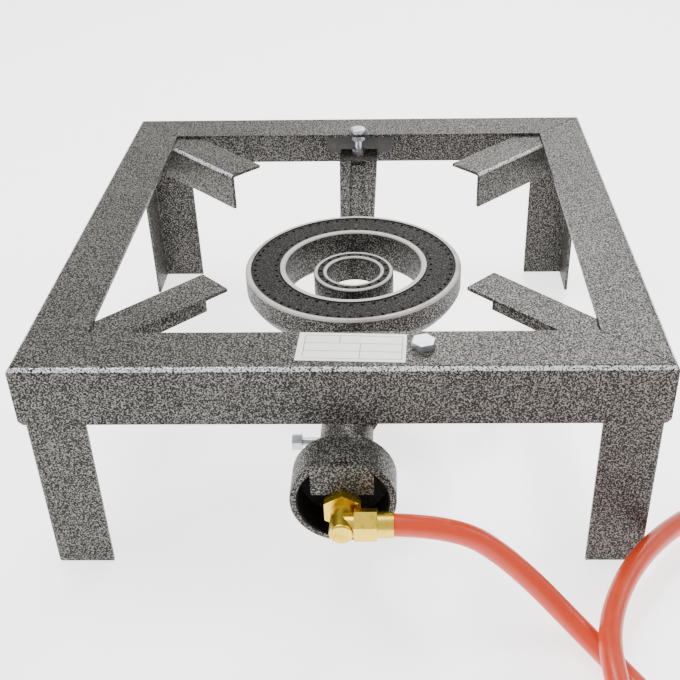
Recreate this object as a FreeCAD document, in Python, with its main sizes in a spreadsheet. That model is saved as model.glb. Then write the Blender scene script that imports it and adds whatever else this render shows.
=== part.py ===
# Propane burner stand: square folded-angle frame on four legs, diagonal pan
# supports, cast double-ring burner, sliding air bell, brass elbow and gas hose.
# Millimetres. +Z is up, the front of the stand faces -Y.
import FreeCAD
import Part
import Sketcher
import math
import os
import re

sizes = {
    "frame_side": 400, "frame_height": 160, "sheet": 2.5, "fold": 3.5,
    "rail_flange": 40, "rail_drop": 41.5, "mitre_gap": 0.4, "corner_nick": 3,
    "leg_width": 38, "leg_drop": 1.5,
    "arm_width": 30, "arm_drop": 30, "arm_tip": 129, "arm_root": 230, "arm_round": 10,
    "weld": 2.4,
    "ring_below": 41, "ring_cap": 8, "ring_round": 83.3, "ring_hole": 52.3,
    "bowl_wall": 5, "bowl_deep": 25, "bowl_side": 8, "bowl_foot": 67, "bowl_floor": 7,
    "inner_below": 6, "inner_cap": 4, "inner_round": 31, "inner_hole": 20.5,
    "inner_deep": 16, "inner_wall": 3, "inner_floor": 4,
    "port_bore": 1.3, "port_outer": 76, "port_middle": 60, "port_inner": 25.8,
    "axis_below": 79.6, "pipe_round": 15.5, "pipe_nose": 13, "pipe_bore": 9.5,
    "pipe_end": 20, "pipe_front": 200, "nose_back": 157,
    "back_hole_y": 167, "back_pad_end": 178, "back_pad_start": 150,
    "back_pad_below": 21, "pad_thick": 9, "back_arm_near": 28, "back_arm_far": 33,
    "arm_groove": 13, "groove_deep": 3.5,
    "ear_hole_x": 49.5, "ear_hole_y": 177, "ear_pad": 29, "ear_web": 10,
    "ear_thick": 8, "bolt_big": 4, "bolt_small": 3, "bolt_gap": 0.3,
    "bell_mouth": 228, "bell_round": 32.9, "bell_rim": 4.8, "bell_straight": 25,
    "bell_shoulder": 8, "hub_round": 17.5, "hub_end": 158.5, "running": 0.05,
    "screw_y": 170, "screw_head": 35.5, "screw_neck": 29,
    "bridge_thick": 3, "bridge_wide": 38, "bridge_top": 30.6, "bridge_low": 8.4, "bridge_eye": 10.6,
    "jet_body": 7, "jet_hex": 12.7, "jet_hex_long": 6.2, "jet_nose": 14,
    "elbow_round": 7.3, "elbow_nose": 9, "elbow_leg": 10.8, "elbow_arm": 7.4, "stub_round": 6, "stub_end": 15,
    "nut_start": 7.5, "nut_end": 21, "nut_across": 10.2, "tail_round": 5, "tail_bore": 3,
    "tail_end": 24, "ferrule_end": 31, "ferrule_round": 7.9, "hose_round": 7,
    "far_nut_across": 10.9, "far_nut_long": 20, "far_ferrule_long": 22,
    "strap_wide": 60, "strap_below": 31, "strap_thick": 3, "strap_round": 6,
    "label_wide": 66.5, "label_deep": 30.5, "label_thick": 0.25,
}

# Heights that follow from the frame's.
heights = {
    "ring_top": "(frame_height - ring_below)", "inner_top": "(frame_height - ring_below - inner_below)",
    "axis_height": "(frame_height - axis_below)", "back_pad_top": "(frame_height - back_pad_below)",
    "strap_low": "(frame_height - strap_below)",
}

# Points that the hose follows, from the elbow to its free end.
hosePoints = [
    (24.2, -248, 80.4), (66, -248, 80.4), (102, -249, 53), (149, -272, 9.5),
    (192, -338, 7), (245, -383, 7), (308, -395, 7), (362, -362, 7),
    (388, -300, 7), (391, -234, 7), (370, -172, 7), (317, -140, 7),
    (256, -149, 8), (190, -217, 31), (158, -272, 28), (155, -322, 26),
    (167, -380, 10), (206, -432, 7), (262, -455, 11), (318, -452, 11),
]

doc = FreeCAD.newDocument("BurnerStand")
sheet = doc.addObject("Spreadsheet::Sheet", "Sizes")
for row, (word, value) in enumerate(sizes.items(), 1):
    sheet.set("A%d" % row, word)
    sheet.set("B%d" % row, str(value))
    sheet.setAlias("B%d" % row, word)
doc.recompute()

nodes = []
places = {}
level = FreeCAD.Rotation()


def bound(text):
    # An expression in which every size's name points into the spreadsheet.
    text = re.sub(r"[a-z_]+", lambda m: heights.get(m.group(0), m.group(0)), text)
    return re.sub(r"[a-z_]+", lambda m: "Sizes." + m.group(0) if m.group(0) in sizes else m.group(0), text)


def number(text):
    return float(sheet.evalExpression(bound(text)))


def towards(x, y, z):
    return FreeCAD.Rotation(FreeCAD.Vector(0, 0, 1), FreeCAD.Vector(x, y, z))


def about(x, y, z, degrees):
    return FreeCAD.Rotation(FreeCAD.Vector(x, y, z), degrees)


def place(item, at=("0", "0", "0"), turn=level):
    item.Placement = FreeCAD.Placement(FreeCAD.Vector(), turn)
    for letter, text in zip("xyz", at):
        item.setExpression("Placement.Base." + letter, bound(text))
    places[item.Name] = at
    return item


def bind(item, values):
    for word, text in values.items():
        item.setExpression(word, bound(text))
    return item


def box(name, size, at, turn=level):
    item = doc.addObject("Part::Box", name)
    bind(item, {"Length": size[0], "Width": size[1], "Height": size[2]})
    return place(item, at, turn)


def rod(name, radius, length, at, turn=level, angle=360):
    item = doc.addObject("Part::Cylinder", name)
    item.Angle = angle
    bind(item, {"Radius": radius, "Height": length})
    return place(item, at, turn)


def hexagon(name, radius, length, at, turn=level):
    item = doc.addObject("Part::Prism", name)
    item.Polygon = 6
    bind(item, {"Circumradius": radius, "Height": length})
    return place(item, at, turn)


def cone(name, low, high, length, at, turn=level):
    item = doc.addObject("Part::Cone", name)
    bind(item, {"Radius1": low, "Radius2": high, "Height": length})
    return place(item, at, turn)


def wedge(name, near, far):
    # near and far hold y, x low, x high, z low, z high of the two end faces.
    item = doc.addObject("Part::Wedge", name)
    words = (("Ymin", "Xmin", "Xmax", "Zmin", "Zmax"), ("Ymax", "X2min", "X2max", "Z2min", "Z2max"))
    for names, texts in zip(words, (near, far)):
        bind(item, dict(zip(names, texts)))
    return place(item)


def fuse(name, items):
    item = doc.addObject("Part::MultiFuse", name)
    item.Shapes = items
    return place(item)


def cut(name, base, tools):
    item = doc.addObject("Part::Cut", name)
    item.Base = base
    item.Tool = tools[0] if len(tools) == 1 else fuse(name + "_cutters", tools)
    return place(item)


def common(name, items, turn=level):
    item = doc.addObject("Part::MultiCommon", name)
    item.Shapes = items
    return place(item, turn=turn)


def rounded(name, base, radius, picked, longest="frame_side"):
    # Rounds the edges, up to the longest length, whose ends both satisfy picked.
    doc.recompute()
    item = doc.addObject("Part::Fillet", name)
    item.Base = base
    size = number(radius)
    item.Edges = [
        (index, size, size) for index, edge in enumerate(base.Shape.Edges, 1)
        if edge.Length < number(longest) + 0.1 and all(picked(vertex.Point) for vertex in edge.Vertexes)
    ]
    return place(item)


def planeOf(body, role):
    return [part for part in body.Origin.OriginFeatures if part.Role == role][0]


def sketchOn(body, name, role):
    sketch = body.newObject("Sketcher::SketchObject", name)
    sketch.AttachmentSupport = [(planeOf(body, role), "")]
    sketch.MapMode = "FlatFace"
    return sketch


def outline(sketch, points):
    # Closed outline; a third entry makes the stretch that leaves a point an arc
    # of that radius, which bulges to the left, or with a fourth entry to the right.
    known = [FreeCAD.Vector(number(point[0]), number(point[1]), 0) for point in points]
    ends = []
    for index, point in enumerate(points):
        start = known[index]
        stop = known[(index + 1) % len(points)]
        if len(point) < 3:
            item = sketch.addGeometry(Part.LineSegment(start, stop), False)
        else:
            radius = number(point[2])
            along = stop - start
            left = FreeCAD.Vector(-along.y, along.x, 0).normalize() * (1 if len(point) == 3 else -1)
            depth = math.sqrt(max(radius ** 2 - along.Length ** 2 / 4, 0))
            middle = (start + stop) * 0.5 + left * (radius - depth)
            item = sketch.addGeometry(Part.Arc(start, middle, stop), False)
        turned = (sketch.getPoint(item, 1) - start).Length > (sketch.getPoint(item, 2) - start).Length
        ends.append((item, 2, 1) if turned else (item, 1, 2))
    for index, point in enumerate(points):
        item, first, last = ends[index]
        following = ends[(index + 1) % len(points)]
        sketch.addConstraint(Sketcher.Constraint("Coincident", item, last, following[0], following[1]))
        for kind, letter, text in (("DistanceX", "across", point[0]), ("DistanceY", "along", point[1])):
            rule = sketch.addConstraint(Sketcher.Constraint(kind, -1, 1, item, first, number(text)))
            sketch.renameConstraint(rule, "%s_%d" % (letter, index))
            sketch.setExpression("Constraints.%s_%d" % (letter, index), bound(text))
        if len(point) > 2:
            rule = sketch.addConstraint(Sketcher.Constraint("Radius", item, number(point[2])))
            sketch.renameConstraint(rule, "bend_%d" % index)
            sketch.setExpression("Constraints.bend_%d" % index, bound(point[2]))


def turned(name, points, at=("0", "0", "0"), turn=level):
    # A body turned about its own Z axis from points of radius and height.
    body = doc.addObject("PartDesign::Body", name)
    sketch = sketchOn(body, name + "_profile", "XZ_Plane")
    outline(sketch, points)
    feature = body.newObject("PartDesign::Revolution", name + "_turn")
    feature.Profile = sketch
    feature.ReferenceAxis = (sketch, ["V_Axis"])
    feature.Angle = 360
    body.Tip = feature
    return place(body, at, turn)


def padded(name, points, length, at=("0", "0", "0"), turn=level):
    # A body whose outline in X and Z is drawn out to both sides of it along Y.
    body = doc.addObject("PartDesign::Body", name)
    sketch = sketchOn(body, name + "_profile", "XZ_Plane")
    outline(sketch, points)
    feature = body.newObject("PartDesign::Pad", name + "_pad")
    feature.Profile = sketch
    feature.SideType = "Symmetric"
    bind(feature, {"Length": length})
    body.Tip = feature
    return place(body, at, turn)


def portRow(body, name, radius, count):
    # One hole through the ring, repeated round its axis.
    sketch = sketchOn(body, name + "_circle", "XY_Plane")
    centre = FreeCAD.Vector(number(radius), 0, 0)
    sketch.addGeometry(Part.Circle(centre, FreeCAD.Vector(0, 0, 1), number("port_bore")), False)
    sketch.addConstraint(Sketcher.Constraint("PointOnObject", 0, 3, -1))
    sketch.addConstraint(Sketcher.Constraint("DistanceX", -1, 1, 0, 3, number(radius)))
    sketch.addConstraint(Sketcher.Constraint("Radius", 0, number("port_bore")))
    sketch.setExpression("Constraints[1]", bound(radius))
    sketch.setExpression("Constraints[2]", bound("port_bore"))
    hole = body.newObject("PartDesign::Pocket", name + "_hole")
    hole.Profile = sketch
    hole.Type = "ThroughAll"
    hole.SideType = "Symmetric"
    body.Tip = hole
    doc.recompute()
    row = body.newObject("PartDesign::PolarPattern", name + "_row")
    row.Originals = [hole]
    row.Axis = (planeOf(body, "Z_Axis"), [""])
    row.Angle = 360
    row.Occurrences = count
    body.Tip = row


def folded(name, flange, drop, length, at, turn):
    # Folded angle: the flange runs to +X, the drop hangs down at x = 0, both
    # drawn out along Y; the fold has the sheet's thickness all round.
    points = [
        ("0", "-(%s)" % drop), ("0", "-fold", "fold"), ("fold", "0"), (flange, "0"),
        (flange, "-sheet"), ("fold", "-sheet", "fold - sheet", "right"), ("sheet", "-fold"),
        ("sheet", "-(%s)" % drop),
    ]
    return padded(name, points, length, at, turn)


def finish(label, item):
    # Names a sub-part; the origin is under the middle of the stand, bell included.
    item.Label = label
    ahead = "((bell_mouth + bridge_thick + jet_hex_long + elbow_leg + elbow_nose) - frame_side / 2) / 2"
    bind(item, {"Placement.Base.y": "(%s) + %s" % (places[item.Name][1], ahead)})
    nodes.append(item)


def makeRails():
    half = "frame_side / 2"
    for count, side in enumerate(("front", "right", "back", "left")):
        name = side + "_rail"
        bar = folded(name + "_bar", "rail_flange", "rail_drop", "frame_side",
                     ("0", "-" + half, "frame_height"), about(0, 0, 1, 90))
        inner = "(%s - rail_flange - mitre_gap)" % half
        outer = "(%s - mitre_gap)" % half
        ends = wedge(name + "_mitre", ("-" + half, "-" + outer, outer, "0", "frame_height"),
                     ("-%s + rail_flange" % half, "-" + inner, inner, "0", "frame_height"))
        blank = common(name + "_blank", [bar, ends])
        nicks = []
        for sign in ("", "-"):
            nicks.append(box("%s_nick%s" % (name, "b" if sign else "a"),
                             ("corner_nick * 1.414", "fold * 3", "corner_nick * 1.414"),
                             ("%s%s" % (sign, half), "-%s - fold" % half,
                              "frame_height - rail_drop - corner_nick"), about(0, 1, 0, -45)))
        if side == "front":
            nicks.append(rod("front_hole", "bolt_big + bolt_gap", "sheet * 3",
                             ("ear_hole_x", "-ear_hole_y", "frame_height - 2 * sheet")))
        if side == "back":
            nicks.append(rod("back_hole", "bolt_small + bolt_gap", "sheet * 3",
                             ("0", "-back_hole_y", "frame_height - 2 * sheet")))
        rail = cut(name + "_solid", blank, nicks)
        finish(name, place(rail, turn=about(0, 0, 1, 90 * count)))


def makeLegs():
    corner = "(frame_side / 2 - sheet)"
    tall = "frame_height - sheet - leg_drop"
    spots = (("front_left", "-", "-"), ("front_right", "", "-"), ("back_right", "", ""), ("back_left", "-", ""))
    for count, (spot, signX, signY) in enumerate(spots):
        turn = about(0, 0, 1, 90 * count).multiply(about(1, 0, 0, 90))
        leg = folded("leg_%s_solid" % spot, "leg_width", "leg_width", tall,
                     (signX + corner, signY + corner, "(%s) / 2" % tall), turn)
        finish("leg_" + spot, leg)


def makeArms():
    middle = "(arm_tip + arm_root) / 2"
    spots = (("front_left", "-", "-", -45), ("front_right", "", "-", 225),
             ("back_right", "", "", 135), ("back_left", "-", "", 45))
    for spot, signX, signY, degrees in spots:
        at = ("%s(%s + arm_width / 2) * sqrt(0.5)" % (signX, middle),
              "%s(%s - arm_width / 2) * sqrt(0.5)" % (signY, middle), "frame_height - sheet")
        bar = folded("arm_%s_bar" % spot, "arm_width", "arm_drop", "arm_root - arm_tip", at,
                     about(0, 0, 1, degrees))
        outward = FreeCAD.Vector(-1 if signX else 1, -1 if signY else 1, 0).normalize()
        reach = number("arm_root") - 0.01
        doc.recompute()
        wall = FreeCAD.Vector(-outward.y, outward.x, 0)
        side = 1 if bar.Shape.CenterOfMass.dot(wall) > 0 else -1
        free = number("arm_width / 2") - 0.01

        def picked(point, outward=outward, wall=wall * -side, reach=reach, free=free):
            return point.dot(outward) > reach and point.dot(wall) > free
        finish("arm_" + spot, rounded("arm_%s_solid" % spot, bar, "arm_round", picked))


def makeWelds():
    # Quarter beads between each leg's edges and the rails, one under each arm's
    # root, and a half bead under each mitre.
    beads = []
    inside = "(frame_side / 2 - sheet)"
    edge = "(frame_side / 2 - sheet - leg_width)"
    low = "frame_height - rail_drop + 2"
    tall = "rail_drop - sheet - leg_drop - 3"
    under = "frame_height - sheet"
    signs = (("", "-"), ("", ""), ("-", ""), ("-", "-"))
    for count, (signX, signY) in enumerate(signs):
        spin = about(0, 0, 1, 90 * count + 90)
        first, second = ((edge, inside), (inside, edge))
        if count % 2:
            first, second = second, first
        for name, (acrossX, acrossY) in (("a", first), ("b", second)):
            beads.append(rod("leg_bead_%s%d" % (name, count), "weld", tall,
                             (signX + acrossX, signY + acrossY, low), spin, 90))
        out = about(0, 0, 1, 90 * count - 45)
        tangent = out.multVec(FreeCAD.Vector(0, 1, 0)) * -7
        at = ("%sarm_root * sqrt(0.5) + %.4f" % (signX, tangent.x),
              "%sarm_root * sqrt(0.5) + %.4f" % (signY, tangent.y), under)
        beads.append(rod("arm_bead_%d" % count, "weld", "14", at,
                         out.multiply(about(1, 0, 0, -90)), 90))
        at = ("%s(arm_root + 6) * sqrt(0.5)" % signX, "%s(arm_root + 6) * sqrt(0.5)" % signY, under)
        long = "(frame_side / 2 - 2 * sheet) * sqrt(2) - arm_root - 9"
        beads.append(rod("mitre_bead_%d" % count, "weld", long, at,
                         out.multiply(about(0, 1, 0, 90)).multiply(about(0, 0, 1, -90)), 180))
    group = doc.addObject("Part::Compound", "bead_group")
    group.Links = beads
    finish("weld_beads", place(group))


def makeCasting():
    seat = "(ring_top - ring_cap)"
    low = "(ring_top - ring_cap - bowl_deep)"
    channelIn = "ring_hole + bowl_wall"
    channelOut = "ring_round - bowl_wall"
    bowl = turned("casting_bowl", [
        ("ring_hole", seat), ("ring_hole", low + " + 4"), ("ring_hole + 4", low),
        ("bowl_foot", low, "34", "right"), ("ring_round", seat + " - bowl_side"), ("ring_round", seat),
        (channelOut, seat), (channelOut, low + " + bowl_floor + 6"),
        (channelOut + " - 6", low + " + bowl_floor"), (channelIn, low + " + bowl_floor"), (channelIn, seat)])
    seat = "(inner_top - inner_cap)"
    low = "(inner_top - inner_cap - inner_deep)"
    cup = turned("casting_cup", [
        ("inner_hole", seat), ("inner_hole", low), ("inner_round", low), ("inner_round", seat),
        ("inner_round - inner_wall", seat), ("inner_round - inner_wall", low + " + inner_floor"),
        ("inner_hole + inner_wall", low + " + inner_floor"), ("inner_hole + inner_wall", seat)])
    forward = towards(0, -1, 0)
    pipe = rod("casting_pipe", "pipe_round", "nose_back - pipe_end", ("0", "-pipe_end", "axis_height"), forward)
    nose = rod("casting_nose", "pipe_nose", "pipe_front - nose_back + 2",
               ("0", "-nose_back + 2", "axis_height"), forward)
    web = box("casting_web", ("10", "ring_hole - inner_round + 2", "9"),
              ("-5", "inner_round - 1", "ring_top - ring_cap - bowl_deep + 4"))
    under = "(back_pad_top - pad_thick)"
    start = "ring_round - bowl_wall + 2"
    seat = "(ring_top - ring_cap)"
    back = wedge("casting_back_arm",
                 (start, "-back_arm_near / 2", "back_arm_near / 2", seat + " - 12", seat + " - 2.2"),
                 ("back_pad_start", "-back_arm_far / 2", "back_arm_far / 2", under, "back_pad_top"))
    groove = wedge("casting_groove",
                   (start + " + 5", "-arm_groove / 2", "arm_groove / 2", seat + " + 0.2 - groove_deep", seat + " + 20"),
                   ("back_pad_start", "-arm_groove / 2", "arm_groove / 2", "back_pad_top - groove_deep",
                    "back_pad_top + 20"))
    backPad = box("casting_back_pad", ("back_arm_far", "back_pad_end - back_pad_start", "pad_thick"),
                  ("-back_arm_far / 2", "back_pad_start", under))
    earTop = "(frame_height - sheet)"
    earLow = "(frame_height - sheet - ear_thick)"
    ear = padded("casting_ear", [
        ("4", "axis_height - 9"), ("pipe_round - 1", "axis_height - 7"), ("pipe_round + 9", "axis_height + 12"),
        ("ear_hole_x + ear_pad / 2", earLow), ("ear_hole_x - ear_pad / 2 + 3", earLow),
        ("4", "axis_height + 14")], "ear_web", ("0", "-nose_back + ear_web / 2", "0"))
    earPad = box("casting_ear_pad", ("ear_pad", "ear_hole_y + 14 - nose_back", earTop + " - " + earLow),
                 ("ear_hole_x - ear_pad / 2", "-ear_hole_y - 14", earLow))
    earStep = box("casting_ear_step", ("ear_pad", "ear_hole_y - 9 - nose_back + ear_web", "7.5"),
                  ("ear_hole_x - ear_pad / 2", "-ear_hole_y + 9", earLow + " - 7.5"))
    whole = fuse("casting_whole", [bowl, cup, pipe, nose, web, back, backPad, ear, earPad, earStep])
    tools = [
        groove,
        rod("casting_bore", "pipe_bore", "pipe_front - pipe_end", ("0", "-pipe_end - 3", "axis_height"), forward),
        rod("casting_feed", "7", "20", ("0", "-(ring_hole + ring_round) / 2", "axis_height")),
        rod("casting_small_feed", "1.8", "22", ("0", "-port_inner", "axis_height")),
        rod("casting_back_hole", "bolt_small + bolt_gap", "pad_thick + 20", ("0", "back_hole_y", under + " - 10")),
        rod("casting_ear_hole", "bolt_big + bolt_gap", "ear_thick + 20",
            ("ear_hole_x", "-ear_hole_y", earLow + " - 10")),
    ]
    for count, sign in enumerate(("", "-")):
        tools.append(rod("casting_screw_hole_%d" % count, "2.3", "40",
                         (sign + "(ring_hole + ring_round) / 2", "0", "ring_top - ring_cap - bowl_deep - 5")))
    finish("burner_casting", cut("casting_solid", whole, tools))


def makeFlameRings():
    low = "(ring_top - ring_cap)"
    ring = turned("outer_flame_ring_blank", [
        ("ring_hole", "0"), ("ring_round", "0"), ("ring_round", "ring_cap - 1.5"),
        ("ring_round - 1.5", "ring_cap"), ("ring_round - 4.5", "ring_cap"), ("ring_round - 5", "ring_cap - 0.8"),
        ("ring_hole + 5", "ring_cap - 0.8"), ("ring_hole + 4.5", "ring_cap"),
        ("ring_hole + 1", "ring_cap"), ("ring_hole", "ring_cap - 1")], ("0", "0", low))
    portRow(ring, "outer_ports", "port_outer", 60)
    portRow(ring, "middle_ports", "port_middle", 44)
    blind = [rod("ring_thread_%d" % count, "2", "4.5", (sign + "(ring_hole + ring_round) / 2", "0", low))
             for count, sign in enumerate(("", "-"))]
    finish("outer_flame_ring", cut("outer_ring_solid", ring, blind))
    inner = turned("inner_flame_ring_blank", [
        ("inner_hole", "0"), ("inner_round", "0"), ("inner_round", "inner_cap - 1"),
        ("inner_round - 1", "inner_cap"), ("inner_hole + 1", "inner_cap"), ("inner_hole", "inner_cap - 1")],
        ("0", "0", "inner_top - inner_cap"))
    portRow(inner, "inner_ports", "port_inner", 18)
    finish("inner_flame_ring", inner)


def makeRingScrews():
    low = "(ring_top - ring_cap - bowl_deep)"
    screws = []
    for count, sign in enumerate(("", "-")):
        x = sign + "(ring_hole + ring_round) / 2"
        head = rod("ring_screw_head_%d" % count, "4", "3", (x, "0", low + " - 3"))
        shank = rod("ring_screw_shank_%d" % count, "2", "bowl_deep + 4", (x, "0", low))
        screws.append(fuse("ring_screw_%d" % count, [head, shank]))
    group = doc.addObject("Part::Compound", "ring_screw_group")
    group.Links = screws
    finish("ring_screws", place(group))


def makeBolts():
    top = "frame_height"
    under = "(frame_height - sheet - ear_thick)"
    x, y = "ear_hole_x", "-ear_hole_y"
    head = hexagon("front_bolt_head", "7.5", "4.6", (x, y, top), about(0, 0, 1, 18))
    shank = rod("front_bolt_shank", "bolt_big", "sheet + ear_thick + 11", (x, y, under + " - 11"))
    finish("front_bolt", fuse("front_bolt_solid", [head, shank]))
    nut = hexagon("front_nut_blank", "7.5", "6.5", (x, y, under + " - 6.5"), about(0, 0, 1, 8))
    hole = rod("front_nut_hole", "bolt_big", "20", (x, y, under + " - 12"))
    finish("front_nut", cut("front_nut_solid", nut, [hole]))
    y = "back_hole_y"
    low = "(back_pad_top - pad_thick)"
    head = rod("back_bolt_head", "7.2", "3.6", ("0", y, top))
    long = "frame_height - (back_pad_top - pad_thick) + 8"
    shank = rod("back_bolt_shank", "bolt_small", long, ("0", y, low + " - 8"))
    whole = rounded("back_bolt_dome", head, "2.6", lambda point: point.z > number("frame_height") + 3)
    finish("back_bolt", fuse("back_bolt_solid", [whole, shank]))
    nuts = []
    spots = ("frame_height - sheet - 5", "back_pad_top", low + " - 5")
    for count, z in enumerate(spots):
        nut = hexagon("back_nut_blank_%d" % count, "5.7", "5", ("0", y, z), about(0, 0, 1, 13 * count))
        hole = rod("back_nut_hole_%d" % count, "bolt_small", "5", ("0", y, z))
        nuts.append(cut("back_nut_%d" % count, nut, [hole]))
    group = doc.addObject("Part::Compound", "back_nut_group")
    group.Links = nuts
    finish("back_nuts", place(group))


def makeStrap():
    blank = box("rear_strap_blank", ("strap_wide", "strap_thick", "frame_height - fold - sheet - strap_low"),
                ("-strap_wide / 2", "frame_side / 2 - sheet - strap_thick", "strap_low"))
    low = number("strap_low") + 0.01
    finish("rear_strap", rounded("rear_strap_solid", blank, "strap_round",
                                 lambda point: point.z < low and abs(point.x) > number("strap_wide / 2") - 0.01,
                                 "strap_thick"))


def makeBell():
    forward = towards(0, -1, 0)
    bore = "pipe_nose + running"
    inner = "bell_round - bell_rim"
    shoulder = "(bell_mouth - bell_straight)"
    neck = "(bell_mouth - bell_straight - bell_shoulder)"
    bell = turned("air_bell_blank", [
        (bore, "hub_end"), ("hub_round", "hub_end"), ("hub_round", neck + " - 3"),
        ("hub_round + 3", neck, "bell_round - hub_round", "right"), ("bell_round", shoulder),
        ("bell_round", "bell_mouth - 0.8"), ("bell_round - 0.8", "bell_mouth"),
        (inner + " + 0.8", "bell_mouth"), (inner, "bell_mouth - 0.8"), (inner, shoulder + " + 4"),
        (inner + " - 6", shoulder), (bore, shoulder)], ("0", "0", "axis_height"), forward)
    hole = rod("air_bell_thread", "bolt_small + running", "hub_round",
               ("-pipe_nose / 2", "-screw_y", "axis_height"), towards(-1, 0, 0))
    finish("air_bell", cut("air_bell_solid", bell, [hole]))
    head = hexagon("lock_screw_head", "5.7", "screw_head - screw_neck",
                   ("-screw_neck", "-screw_y", "axis_height"), towards(-1, 0, 0))
    shank = rod("lock_screw_shank", "bolt_small", "screw_neck - pipe_nose - 0.1",
                ("-pipe_nose - 0.1", "-screw_y", "axis_height"), towards(-1, 0, 0))
    finish("lock_screw", fuse("lock_screw_solid", [head, shank]))


def makeJet():
    forward = towards(0, -1, 0)
    plate = box("jet_bridge_plate", ("bridge_wide", "bridge_thick", "bridge_top - bridge_low"),
                ("-bridge_wide / 2", "-bell_mouth - bridge_thick", "axis_height + bridge_low"))
    eye = rod("jet_bridge_eye", "bridge_eye", "bridge_thick", ("0", "-bell_mouth", "axis_height"), forward)
    hole = rod("jet_bridge_hole", "jet_body", "bridge_thick * 3",
               ("0", "-bell_mouth + bridge_thick", "axis_height"), forward)
    finish("jet_bridge", cut("jet_bridge_solid", fuse("jet_bridge_whole", [plate, eye]), [hole]))
    front = "bell_mouth + bridge_thick"
    nut = hexagon("injector_hex", "jet_hex", "jet_hex_long", ("0", "-%s" % front.replace("+", "-"), "axis_height"),
                  forward.multiply(about(0, 0, 1, 30)))
    body = rod("injector_body", "jet_body", "bridge_thick + jet_nose",
               ("0", "-bell_mouth + jet_nose", "axis_height"), forward)
    tip = cone("injector_tip", "3", "jet_body", "5", ("0", "-bell_mouth + jet_nose + 5", "axis_height"), forward)
    hole = rod("injector_hole", "0.8", "60", ("0", "-bell_mouth + jet_nose + 10", "axis_height"), forward)
    finish("injector", cut("injector_solid", fuse("injector_whole", [nut, body, tip]), [hole]))


def makeElbow():
    face = "(bell_mouth + bridge_thick + jet_hex_long)"
    turnY = "-(bell_mouth + bridge_thick + jet_hex_long + elbow_leg)"
    stem = rod("elbow_stem", "elbow_round", "elbow_leg + elbow_nose", ("0", "-" + face, "axis_height"),
               towards(0, -1, 0))
    front = turnY + " - elbow_nose"
    low = number(front) + 0.01
    leg = rounded("elbow_rounded_stem", stem, "1.6", lambda point: point.y < low)
    side = towards(1, 0, 0)
    arm = rod("elbow_side", "elbow_round", "elbow_arm", ("0", turnY, "axis_height"), side)
    stub = rod("elbow_stub", "stub_round", "stub_end", ("0", turnY, "axis_height"), side)
    whole = fuse("elbow_whole", [leg, arm, stub])
    bore = rod("elbow_bore", "tail_bore", "stub_end", ("0", turnY, "axis_height"), side)
    back = rod("elbow_back_bore", "tail_bore", "elbow_leg", ("0", "-" + face, "axis_height"), towards(0, -1, 0))
    finish("brass_elbow", cut("elbow_solid", whole, [bore, back]))
    nut = hexagon("hose_nut_blank", "nut_across", "nut_end - nut_start", ("nut_start", turnY, "axis_height"), side)
    wide = rod("hose_nut_thread", "stub_round + running", "stub_end + 1.1 - nut_start",
               ("nut_start", turnY, "axis_height"), side)
    narrow = rod("hose_nut_hole", "tail_round + 0.3", "nut_end", ("nut_start", turnY, "axis_height"), side)
    finish("hose_nut", cut("hose_nut_solid", nut, [wide, narrow]))
    collar = rod("hose_tail_collar", "stub_round - 0.25", "1", ("stub_end", turnY, "axis_height"), side)
    tail = rod("hose_tail_stem", "tail_round", "tail_end - stub_end", ("stub_end", turnY, "axis_height"), side)
    bore = rod("hose_tail_bore", "tail_bore", "tail_end", ("stub_end", turnY, "axis_height"), side)
    finish("hose_tail", cut("hose_tail_solid", fuse("hose_tail_whole", [collar, tail]), [bore]))
    sleeve = rod("ferrule_blank", "ferrule_round", "ferrule_end - nut_end - 0.3",
                 ("nut_end + 0.3", turnY, "axis_height"), side)
    hose = rod("ferrule_socket", "hose_round", "20", ("tail_end", turnY, "axis_height"), side)
    hole = rod("ferrule_hole", "tail_round", "20", ("nut_end", turnY, "axis_height"), side)
    finish("ferrule", cut("ferrule_solid", sleeve, [hose, hole]))


def makeHose():
    # Straight runs joined by arcs that take 0.45 of the shorter run on each side.
    points = [FreeCAD.Vector(*point) for point in hosePoints]
    edges = []
    start = points[0]
    for before, corner, after in zip(points, points[1:], points[2:]):
        arrive = (corner - before).normalize()
        leave = (after - corner).normalize()
        turn = arrive.getAngle(leave)
        used = 0.45 * min((corner - before).Length, (after - corner).Length)
        radius = used / math.tan(turn / 2)
        first = corner - arrive * used
        last = corner + leave * used
        middle = corner + (leave - arrive).normalize() * (radius / math.cos(turn / 2) - radius)
        edges.append(Part.LineSegment(start, first).toShape())
        edges.append(Part.Arc(first, middle, last).toShape())
        start = last
        print("bend %5.1f deg radius %5.1f" % (math.degrees(turn), radius))
    edges.append(Part.LineSegment(start, points[-1]).toShape())
    path = doc.addObject("Part::Feature", "hose_path")
    path.Shape = Part.Wire(edges)
    ring = doc.addObject("Part::Circle", "hose_section")
    bind(ring, {"Radius": "hose_round"})
    place(ring, tuple(str(value) for value in hosePoints[0]), towards(1, 0, 0))
    tube = doc.addObject("Part::Sweep", "gas_hose_solid")
    tube.Sections = [ring]
    tube.Spine = (path, ["Edge%d" % (index + 1) for index in range(len(edges))])
    tube.Solid = True
    tube.Frenet = False
    finish("gas_hose", place(tube))
    return path


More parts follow.
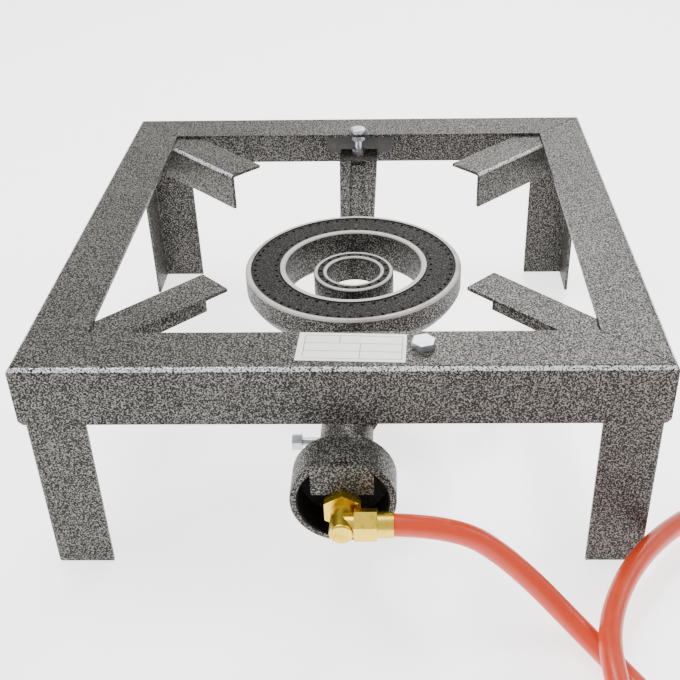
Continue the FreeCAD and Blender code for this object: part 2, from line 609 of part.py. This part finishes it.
def makeFarEnd():
    # The free end: ferrule, tail and a swivel nut, in line with the hose's last run.
    last = FreeCAD.Vector(*hosePoints[-1])
    along = (last - FreeCAD.Vector(*hosePoints[-2])).normalize()
    side = towards(along.x, along.y, along.z)

    def at(text):
        return tuple("%.6f + (%s) * %.6f" % (value, text, step) for value, step in zip(last, along))
    sleeve = rod("far_ferrule_blank", "ferrule_round", "far_ferrule_long", at("6 - far_ferrule_long"), side)
    hose = rod("far_socket", "hose_round", "far_ferrule_long", at("-far_ferrule_long"), side)
    hole = rod("far_hole", "tail_round", "20", at("0"), side)
    finish("far_ferrule", cut("far_ferrule_solid", sleeve, [hose, hole]))
    stem = rod("far_stem", "tail_round", "14", at("0"), side)
    collar = rod("far_collar", "7", "2", at("12.1"), side)
    bore = rod("far_bore", "tail_bore", "30", at("0"), side)
    finish("far_tail", cut("far_tail_solid", fuse("far_tail_whole", [stem, collar]), [bore]))
    nut = hexagon("far_nut_blank", "far_nut_across", "far_nut_long", at("7"), side.multiply(about(0, 0, 1, 30)))
    narrow = rod("far_nut_hole", "tail_round + 0.3", "10", at("6"), side)
    wide = rod("far_nut_thread", "7.3", "far_nut_long", at("11.8"), side)
    finish("far_nut", cut("far_nut_solid", nut, [narrow, wide]))


def makeLabel():
    plate = box("rating_label_plate", ("label_wide", "label_deep", "label_thick"),
                ("5.1 - label_wide / 2", "-177.6 - label_deep / 2 + 1.45", "frame_height"), about(0, 0, 1, -2.5))
    finish("rating_label", plate)


makeRails()
makeLegs()
makeArms()
makeWelds()
makeCasting()
makeFlameRings()
makeRingScrews()
makeBolts()
makeStrap()
makeBell()
makeJet()
makeElbow()
hosePath = makeHose()
makeFarEnd()
makeLabel()
doc.recompute()

for item in doc.Objects:
    if "Invalid" in item.State or "Error" in item.State:
        raise RuntimeError("%s did not build: %s" % (item.Name, item.State))
os.makedirs("parts", exist_ok=True)
for item in nodes:
    shape = item.Shape
    if shape.isNull() or not shape.isValid() or not shape.Solids:
        raise RuntimeError("%s has no sound solid" % item.Label)
    shape.exportStep("parts/%s.step" % item.Label)
    print("%-18s solids %2d volume %9.0f" % (item.Label, len(shape.Solids), shape.Volume))
tube = [item for item in nodes if item.Label == "gas_hose"][0].Shape.Volume
length = hosePath.Shape.Length
print("hose length %.1f, volume against section times length %.4f" % (
    length, tube / (length * math.pi * number("hose_round") ** 2)))
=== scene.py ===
import bpy
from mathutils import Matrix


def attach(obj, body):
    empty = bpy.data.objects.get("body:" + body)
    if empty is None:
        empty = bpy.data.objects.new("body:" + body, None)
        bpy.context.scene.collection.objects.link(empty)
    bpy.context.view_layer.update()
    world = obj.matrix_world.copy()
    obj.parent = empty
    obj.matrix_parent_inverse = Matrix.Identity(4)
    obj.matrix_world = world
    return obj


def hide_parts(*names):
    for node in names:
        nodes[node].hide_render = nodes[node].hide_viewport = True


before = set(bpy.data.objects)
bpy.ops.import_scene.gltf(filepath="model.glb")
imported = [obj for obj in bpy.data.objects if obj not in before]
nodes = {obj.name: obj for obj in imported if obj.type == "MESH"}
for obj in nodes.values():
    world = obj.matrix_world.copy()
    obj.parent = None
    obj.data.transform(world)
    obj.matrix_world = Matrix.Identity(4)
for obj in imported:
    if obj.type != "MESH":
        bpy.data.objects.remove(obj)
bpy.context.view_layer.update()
import bpy, math
from mathutils import Matrix, Vector

ahead = 0.0285  # the frame's middle lies this far behind the origin
axisHeight = 0.0804  # of the mixing tube and the elbow's outlet
scene = bpy.context.scene

# ---- camera, at the photo's angle
view = {"place": (0.0331, -0.6966 + ahead, 0.507), "down": 33.17, "yaw": 1.30, "roll": -1.01,
        "lens": 54.42, "shift": (-0.0544, -0.005)}
cameraData = bpy.data.cameras.new("camera")
cameraData.lens = view["lens"]
cameraData.sensor_width = 36
cameraData.shift_x, cameraData.shift_y = view["shift"]
cameraData.clip_start = 0.01
camera = bpy.data.objects.new("camera", cameraData)
scene.collection.objects.link(camera)
aim = (Matrix.Rotation(math.radians(view["yaw"]), 4, "Z")
       @ Matrix.Rotation(math.radians(90 - view["down"]), 4, "X")
       @ Matrix.Rotation(math.radians(view["roll"]), 4, "Z"))
camera.matrix_world = Matrix.Translation(view["place"]) @ aim
scene.camera = camera
print("camera placed")

# ---- gas hose: the route's points, elbow first, free end last
hoseLook = {"radius": 0.007, "length": 1.183, "exit": (0.031, -0.248 + ahead, axisHeight), "points": [
    (0.0242, -0.248, axisHeight), (0.066, -0.248, axisHeight), (0.102, -0.249, 0.053), (0.149, -0.272, 0.0095),
    (0.192, -0.338, 0.007), (0.245, -0.383, 0.007), (0.308, -0.395, 0.007), (0.362, -0.362, 0.007),
    (0.388, -0.300, 0.007), (0.391, -0.234, 0.007), (0.370, -0.172, 0.007), (0.317, -0.140, 0.007),
    (0.256, -0.149, 0.008), (0.190, -0.217, 0.031), (0.158, -0.272, 0.028), (0.155, -0.322, 0.026),
    (0.167, -0.380, 0.010), (0.206, -0.432, 0.007), (0.262, -0.455, 0.011), (0.318, -0.452, 0.011)]}
hoseCurve = bpy.data.curves.new("gasHose", "CURVE")
hoseCurve.dimensions = "3D"
hoseCurve.bevel_depth = 1.0  # the points carry the radius, so the curve's box fits it
hoseCurve.bevel_resolution = 8
hoseCurve.use_fill_caps = True
spline = hoseCurve.splines.new("NURBS")
spline.points.add(len(hoseLook["points"]) - 1)
for point, (x, y, z) in zip(spline.points, hoseLook["points"]):
    point.co = (x, y + ahead, z, 1)
    point.radius = hoseLook["radius"]
spline.order_u = 3
spline.use_endpoint_u = True
spline.resolution_u = 14
hose = bpy.data.objects.new("gasHose", hoseCurve)
scene.collection.objects.link(hose)
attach(hose, "air_mixer")
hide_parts("gas_hose")
print("hose laid")


# ---- shader helpers
def makeGroup(name, inputs, outputs):
    # inputs: name and starting value; outputs: name and kind of socket
    tree = bpy.data.node_groups.new(name, "ShaderNodeTree")
    for word, value in inputs.items():
        kind = "NodeSocketFloat" if isinstance(value, (int, float)) else "NodeSocketColor"
        socket = tree.interface.new_socket(name=word, in_out="INPUT", socket_type=kind)
        socket.default_value = value if isinstance(value, (int, float)) else (*value, 1)
    for word, kind in outputs.items():
        tree.interface.new_socket(name=word, in_out="OUTPUT", socket_type="NodeSocket" + kind)
    return tree, tree.nodes.new("NodeGroupInput"), tree.nodes.new("NodeGroupOutput")


def wire(tree, source, target):
    if isinstance(source, (int, float)):
        target.default_value = source
    elif isinstance(source, tuple):
        target.default_value = (*source, 1) if len(target.default_value) == 4 else source
    else:
        tree.links.new(source, target)


def sums(tree, what, a, b=0.0, c=0.0, clamp=False):
    node = tree.nodes.new("ShaderNodeMath")
    node.operation = what
    node.use_clamp = clamp
    for socket, value in zip(node.inputs, (a, b, c)):
        wire(tree, value, socket)
    return node.outputs[0]


def ramp(tree, value, low, high, outLow=0.0, outHigh=1.0):
    node = tree.nodes.new("ShaderNodeMapRange")
    node.interpolation_type = "SMOOTHSTEP"
    amounts = {"Value": value, "From Min": low, "From Max": high, "To Min": outLow, "To Max": outHigh}
    for word, amount in amounts.items():
        wire(tree, amount, node.inputs[word])
    return node.outputs["Result"]


def blendColor(tree, factor, a, b, how="MIX"):
    node = tree.nodes.new("ShaderNodeMix")
    node.data_type = "RGBA"
    node.blend_type = how
    wire(tree, factor, node.inputs[0])
    wire(tree, a, node.inputs[6])
    wire(tree, b, node.inputs[7])
    return node.outputs[2]


def place(tree):
    return tree.nodes.new("ShaderNodeTexCoord").outputs["Object"]


def axes(tree, vector):
    node = tree.nodes.new("ShaderNodeSeparateXYZ")
    tree.links.new(vector, node.inputs[0])
    return node.outputs


def noise(tree, vector, scale, detail=2.0, rough=0.5, twist=0.0):
    node = tree.nodes.new("ShaderNodeTexNoise")
    tree.links.new(vector, node.inputs["Vector"])
    for word, value in {"Scale": scale, "Detail": detail, "Roughness": rough, "Distortion": twist}.items():
        wire(tree, value, node.inputs[word])
    return node.outputs[0]


def cells(tree, vector, scale, random=1.0):
    node = tree.nodes.new("ShaderNodeTexVoronoi")
    tree.links.new(vector, node.inputs["Vector"])
    wire(tree, scale, node.inputs["Scale"])
    wire(tree, random, node.inputs["Randomness"])
    return node


def material(name, group, values, settings, bumpDepth=0.0, links=("Color", "Roughness")):
    # a Principled surface fed by one shared effect
    made = bpy.data.materials.new(name)
    made.use_nodes = True
    tree = made.node_tree
    surface = tree.nodes["Principled BSDF"]
    for word, value in settings.items():
        surface.inputs[word].default_value = value
    effect = tree.nodes.new("ShaderNodeGroup")
    effect.node_tree = group
    for word, value in values.items():
        effect.inputs[word].default_value = value if isinstance(value, (int, float)) else (*value, 1)
    names = {"Color": "Base Color", "Roughness": "Roughness", "Metallic": "Metallic", "Coat": "Coat Weight"}
    for word in links:
        tree.links.new(effect.outputs[word], surface.inputs[names[word]])
    if bumpDepth:
        bump = tree.nodes.new("ShaderNodeBump")
        bump.inputs["Distance"].default_value = bumpDepth
        tree.links.new(effect.outputs["Height"], bump.inputs["Height"])
        tree.links.new(bump.outputs[0], surface.inputs["Normal"])
    return made


def paint(name, look):
    cad = nodes[name]
    cad.data.materials.clear()
    cad.data.materials.append(look)


# ---- hammered paint: dark ground, bright flakes; worn bends with a painted highlight; bare turned rims at two radii; soot on the flame ring's top; painted shade inside the bell's bore
def hammeredGroup():
    look = {"broadScale": 16.0, "grainScale": 2600.0, "sootAndBoreShade": (0.004, 0.0035, 0.0035),
            "bareRim": (0.42, 0.41, 0.39), "foldBareAndHighlight": (0.86, 0.88, 0.93), "coat": 0.05}
    tree, given, out = makeGroup("hammeredPaint", {
        "Dark": (0.004, 0.0038, 0.0035), "Light": (0.185, 0.176, 0.163), "Scale": 1000.0, "Edge": 0.54, "Fold Wear And Highlight": 0.0,
        "Rim Radius": 0.0, "Second Radius": 0.0, "Rim Width": 0.002, "Rim Height": 9.0, "Bore Radius": 0.0},
        {"Color": "Color", "Roughness": "Float", "Metallic": "Float", "Coat": "Float", "Height": "Float"})
    at = place(tree)
    x, y, z = axes(tree, at)
    # the noise is turned, so that no flat face lies along its lattice
    turned = tree.nodes.new("ShaderNodeMapping")
    turned.inputs["Rotation"].default_value = (0.61, 0.47, 0.83)
    tree.links.new(at, turned.inputs["Vector"])
    fine = noise(tree, turned.outputs[0], given.outputs["Scale"], 2.0, 0.5, 0.3)
    broad = noise(tree, at, look["broadScale"], 3.0, 0.55)
    edge = sums(tree, "MULTIPLY_ADD", broad, -0.07, sums(tree, "ADD", given.outputs["Edge"], 0.035))
    # worn thin and painted highlight where the sheet is bent (neither level nor upright): the flakes there turn near
    # white and denser, standing in for the light the rounded folds catch
    facing = axes(tree, tree.nodes.new("ShaderNodeNewGeometry").outputs["True Normal"])
    lean = sums(tree, "ABSOLUTE", facing[2])
    bend = sums(tree, "MULTIPLY", ramp(tree, lean, 0.25, 0.4), ramp(tree, lean, 0.97, 0.88))
    foldWearAndHighlight = sums(tree, "MULTIPLY", bend, given.outputs["Fold Wear And Highlight"])
    edge = sums(tree, "MULTIPLY_ADD", foldWearAndHighlight, -0.1, edge)
    flake = ramp(tree, fine, sums(tree, "SUBTRACT", edge, 0.07), sums(tree, "ADD", edge, 0.08))
    grain = noise(tree, at, look["grainScale"], 1.0)
    bright = blendColor(tree, foldWearAndHighlight, given.outputs["Light"], look["foldBareAndHighlight"])
    tone = blendColor(tree, flake, given.outputs["Dark"], bright)
    mottle = blendColor(tree, grain, (0.02, 0.02, 0.02), (1.0, 0.97, 0.92))
    tone = blendColor(tree, 0.3, tone, mottle, "SOFT_LIGHT")

    def span(a, b):
        # distance from an axis: root of the sum of the two squares
        return sums(tree, "SQRT", sums(tree, "ADD", sums(tree, "POWER", a, 2.0), sums(tree, "POWER", b, 2.0)))
    radius = span(x, sums(tree, "SUBTRACT", y, ahead))
    rims = []
    for word in ("Rim Radius", "Second Radius"):
        away = sums(tree, "ABSOLUTE", sums(tree, "SUBTRACT", radius, given.outputs[word]))
        rims.append(ramp(tree, sums(tree, "SUBTRACT", away, given.outputs["Rim Width"]), 0.0004, -0.0004))
    high = ramp(tree, z, sums(tree, "SUBTRACT", given.outputs["Rim Height"], 0.0012), given.outputs["Rim Height"])
    rim = sums(tree, "MULTIPLY", sums(tree, "MAXIMUM", rims[0], rims[1]), high)
    rim = sums(tree, "MULTIPLY", rim, ramp(tree, broad, 0.3, 0.55, 0.5, 1.0))
    # painted shade in the bell's bore: darkened to near black wherever its surface doesn't face away from the mixing
    # tube's axis, and on the wall that faces the axis
    up = sums(tree, "SUBTRACT", z, axisHeight)
    deep = span(x, up)
    outward = sums(tree, "ADD", sums(tree, "MULTIPLY", facing[0], x), sums(tree, "MULTIPLY", facing[2], up))
    sootAndBoreShade = ramp(tree, sums(tree, "SUBTRACT", deep, given.outputs["Bore Radius"]), 0.0001, -0.0005)
    turnedOut = sums(tree, "DIVIDE", outward, deep)
    sootAndBoreShade = sums(tree, "MULTIPLY", sootAndBoreShade, ramp(tree, turnedOut, 0.4, 0.2))
    inner = sums(tree, "MULTIPLY", ramp(tree, turnedOut, -0.3, -0.6),
                 sums(tree, "GREATER_THAN", given.outputs["Bore Radius"], 0.001))
    sootAndBoreShade = sums(tree, "MAXIMUM", sootAndBoreShade, inner)
    sootAndBoreShade = sums(tree, "MAXIMUM", sootAndBoreShade, sums(tree, "MULTIPLY", high, sums(tree, "SUBTRACT", 0.8, rim)))
    # near black: soot on the flame ring's top, painted shade in the bell's bore
    tone = blendColor(tree, sootAndBoreShade, tone, look["sootAndBoreShade"])
    wire(tree, blendColor(tree, rim, tone, look["bareRim"]), out.inputs["Color"])
    wire(tree, sums(tree, "MULTIPLY_ADD", flake, -0.25, sums(tree, "MULTIPLY_ADD", sootAndBoreShade, 0.2, 0.58)),
         out.inputs["Roughness"])
    wire(tree, sums(tree, "MULTIPLY", sums(tree, "MULTIPLY", flake, 0.3), sums(tree, "SUBTRACT", 1.0, sootAndBoreShade)),
         out.inputs["Metallic"])
    wire(tree, sums(tree, "MULTIPLY", sums(tree, "SUBTRACT", 1.0, sootAndBoreShade), look["coat"]), out.inputs["Coat"])
    dimple = cells(tree, at, sums(tree, "MULTIPLY", given.outputs["Scale"], 0.5))
    wire(tree, sums(tree, "ADD", sums(tree, "MULTIPLY", dimple.outputs["Distance"], 0.7),
                    sums(tree, "MULTIPLY", fine, 0.4)), out.inputs["Height"])
    return tree


# ---- plain metal: soft clouds, fine scratches and a little dulling
def metalGroup():
    tree, given, out = makeGroup("plainMetal", {"Tone": (0.7, 0.5, 0.2), "Dull": (0.4, 0.25, 0.08), "Spread": 0.5,
                                                "Rough": 0.25},
                                 {"Color": "Color", "Roughness": "Float", "Height": "Float"})
    at = place(tree)
    cloud = noise(tree, at, 160.0, 4.0, 0.6)
    fine = noise(tree, at, 1500.0, 2.0, 0.6)
    dull = ramp(tree, cloud, sums(tree, "SUBTRACT", 0.95, given.outputs["Spread"]), 0.85)
    wire(tree, blendColor(tree, dull, given.outputs["Tone"], given.outputs["Dull"]), out.inputs["Color"])
    wire(tree, sums(tree, "ADD", given.outputs["Rough"], sums(tree, "MULTIPLY", fine, 0.18)), out.inputs["Roughness"])
    wire(tree, sums(tree, "ADD", fine, sums(tree, "MULTIPLY", cloud, 0.6)), out.inputs["Height"])
    return tree


# ---- hose rubber: even tone with faint dust and long soft marks
def rubberGroup():
    tree, given, out = makeGroup("hoseRubber", {"Tone": (0.56, 0.04, 0.008), "Pale": (0.7, 0.11, 0.035)},
                                 {"Color": "Color", "Roughness": "Float", "Height": "Float"})
    at = place(tree)
    dust = noise(tree, at, 700.0, 3.0, 0.6)
    mark = noise(tree, at, 60.0, 4.0, 0.65, 0.5)
    wire(tree, blendColor(tree, ramp(tree, mark, 0.5, 0.78, 0.0, 0.35), given.outputs["Tone"], given.outputs["Pale"]),
         out.inputs["Color"])
    wire(tree, ramp(tree, dust, 0.3, 0.7, 0.3, 0.42), out.inputs["Roughness"])
    wire(tree, dust, out.inputs["Height"])
    return tree


# ---- label film: white with generic ruled lines
def labelGroup():
    look = {"middle": (0.0051, -0.1776 + ahead), "tilt": -2.5, "half": (0.03325, 0.01525), "width": 0.00035}
    tree, given, out = makeGroup("ruledLabel", {"Paper": (0.8, 0.8, 0.77), "Ink": (0.12, 0.12, 0.12)},
                                 {"Color": "Color", "Roughness": "Float"})
    x, y, z = axes(tree, place(tree))
    x = sums(tree, "SUBTRACT", x, look["middle"][0])
    y = sums(tree, "SUBTRACT", y, look["middle"][1])
    tilt = math.radians(look["tilt"])
    u = sums(tree, "ADD", sums(tree, "MULTIPLY", x, math.cos(tilt)), sums(tree, "MULTIPLY", y, math.sin(tilt)))
    v = sums(tree, "SUBTRACT", sums(tree, "MULTIPLY", y, math.cos(tilt)), sums(tree, "MULTIPLY", x, math.sin(tilt)))

    def rule(along, across, spot, low, high):
        near = sums(tree, "LESS_THAN", sums(tree, "ABSOLUTE", sums(tree, "SUBTRACT", along, spot)), look["width"])
        span = sums(tree, "MULTIPLY", sums(tree, "GREATER_THAN", across, low), sums(tree, "LESS_THAN", across, high))
        return sums(tree, "MULTIPLY", near, span)
    rules = [rule(u, v, -0.0285, -0.0105, 0.0125), rule(u, v, 0.0315, -0.0125, 0.0125),
             rule(v, u, 0.0125, -0.0285, 0.0315), rule(v, u, -0.0125, -0.0285, 0.0315),
             rule(v, u, 0.0040, -0.0285, 0.0315), rule(v, u, -0.0045, -0.0285, 0.0315),
             rule(u, v, -0.0070, 0.0040, 0.0125), rule(u, v, 0.0060, -0.0125, 0.0040)]
    total = rules[0]
    for mark in rules[1:]:
        total = sums(tree, "MAXIMUM", total, mark)
    grey = noise(tree, place(tree), 90.0, 3.0, 0.6)
    paper = blendColor(tree, ramp(tree, grey, 0.45, 0.8, 0.0, 0.3), given.outputs["Paper"], (0.5, 0.49, 0.46))
    wire(tree, blendColor(tree, sums(tree, "MULTIPLY", total, 0.8), paper, given.outputs["Ink"]), out.inputs["Color"])
    wire(tree, 0.35, out.inputs["Roughness"])
    return tree


hammered = hammeredGroup()
metal = metalGroup()
rubber = rubberGroup()
ruled = labelGroup()
full = ("Color", "Roughness", "Metallic", "Coat")
coat = {"Coat Roughness": 0.2, "Specular IOR Level": 0.15}
cast = {"Edge": 0.55, "Scale": 1000.0}
outerRims = {"Edge": 0.55, "Rim Radius": 0.0812, "Second Radius": 0.0545, "Rim Height": 0.1182}
innerRims = {"Edge": 0.55, "Rim Radius": 0.0294, "Second Radius": 0.0222, "Rim Width": 0.0012,
             "Rim Height": 0.1122}
tones = {
    "zinc": {"Tone": (0.5, 0.51, 0.55), "Dull": (0.22, 0.22, 0.25), "Rough": 0.26},
    "brass": {"Tone": (0.74, 0.52, 0.05), "Dull": (0.36, 0.22, 0.015), "Rough": 0.2},
    # near black: painted shade, the rear strap stands where the back flange's shadow falls
    "strapShade": {"Tone": (0.03, 0.03, 0.03), "Dull": (0.07, 0.05, 0.04), "Rough": 0.45},
}
looks = {
    # the frame's bends get wear and a painted highlight
    "frame": material("framePaint", hammered, {"Fold Wear And Highlight": 0.8}, coat, 0.0003, full),
    "casting": material("castPaint", hammered, cast, coat, 0.0004, full),
    "bell": material("bellPaint", hammered, {**cast, "Bore Radius": 0.0279}, coat, 0.0004, full),
    "ring": material("ringPaint", hammered, outerRims, coat, 0.0003, full),
    "innerRing": material("innerRingPaint", hammered, innerRims, coat, 0.0003, full),
    "zinc": material("zincPlate", metal, tones["zinc"], {"Metallic": 0.9}, 0.0001),
    "brass": material("turnedBrass", metal, tones["brass"], {"Metallic": 1.0}, 0.00002),
    # the rear strap's near-black surface is painted shade
    "strapShade": material("strapPaintedShade", metal, tones["strapShade"], {"Metallic": 0.3}, 0.0002),
    "hose": material("orangeRubber", rubber, {}, {"Coat Weight": 0.1, "Specular IOR Level": 0.35}, 0.00005),
    "label": material("labelFilm", ruled, {}, {}, 0.0),
}
dress = {
    "frame": ["front_rail", "back_rail", "left_rail", "right_rail", "weld_beads",
              "leg_front_left", "leg_front_right", "leg_back_left", "leg_back_right",
              "arm_front_left", "arm_front_right", "arm_back_left", "arm_back_right"],
    "casting": ["burner_casting", "jet_bridge"], "bell": ["air_bell"], "ring": ["outer_flame_ring"],
    "innerRing": ["inner_flame_ring"], "strapShade": ["rear_strap"],
    "zinc": ["front_bolt", "front_nut", "back_bolt", "back_nuts", "lock_screw", "ring_screws"],
    "brass": ["injector", "brass_elbow", "hose_nut", "hose_tail", "ferrule", "far_ferrule", "far_tail", "far_nut"],
    "label": ["rating_label"],
}
for word, names in dress.items():
    for name in names:
        paint(name, looks[word])
hoseCurve.materials.append(looks["hose"])
print("surfaces painted")

# ---- studio: pale floor with a faint reflection, and soft light
studio = {"reach": 6.0, "floorTone": 0.9, "roughness": 0.18, "glow": 2.2, "world": 1.0}
floorMesh = bpy.data.meshes.new("floor")
reach = studio["reach"]
floorMesh.from_pydata([(-reach, 2 - reach, 0), (reach, 2 - reach, 0), (reach, 2 + reach, 0), (-reach, 2 + reach, 0)],
                      [], [(0, 1, 2, 3)])
floor = bpy.data.objects.new("floor", floorMesh)
scene.collection.objects.link(floor)
floorLook = bpy.data.materials.new("floorLook")
floorLook.use_nodes = True
floorSurface = floorLook.node_tree.nodes["Principled BSDF"]
floorSurface.inputs["Base Color"].default_value = (*[studio["floorTone"]] * 3, 1)
floorSurface.inputs["Roughness"].default_value = studio["roughness"]
floorSurface.inputs["Emission Color"].default_value = (1.0, 1.0, 1.0, 1)
floorSurface.inputs["Emission Strength"].default_value = studio["glow"]
floorMesh.materials.append(floorLook)
world = bpy.data.worlds.new("studio")
world.use_nodes = True
world.node_tree.nodes["Background"].inputs[0].default_value = (1.0, 1.0, 1.0, 1)
world.node_tree.nodes["Background"].inputs[1].default_value = studio["world"]
scene.world = world
# each light's place, width and power
lights = {"key": ((-0.5, 0.2, 1.7), 0.8, 30.0), "back": ((0.4, 1.5, 1.4), 1.0, 34.0),
          "right": ((1.5, 0.2, 1.2), 0.8, 8.0)}
for name, (spot, size, power) in lights.items():
    lamp = bpy.data.lights.new(name, "AREA")
    lamp.size = size
    lamp.energy = power
    holder = bpy.data.objects.new(name, lamp)
    scene.collection.objects.link(holder)
    holder.location = spot
    holder.rotation_euler = (Vector((0, 0, 0.1)) - Vector(spot)).to_track_quat("-Z", "Y").to_euler()
print("studio lit")
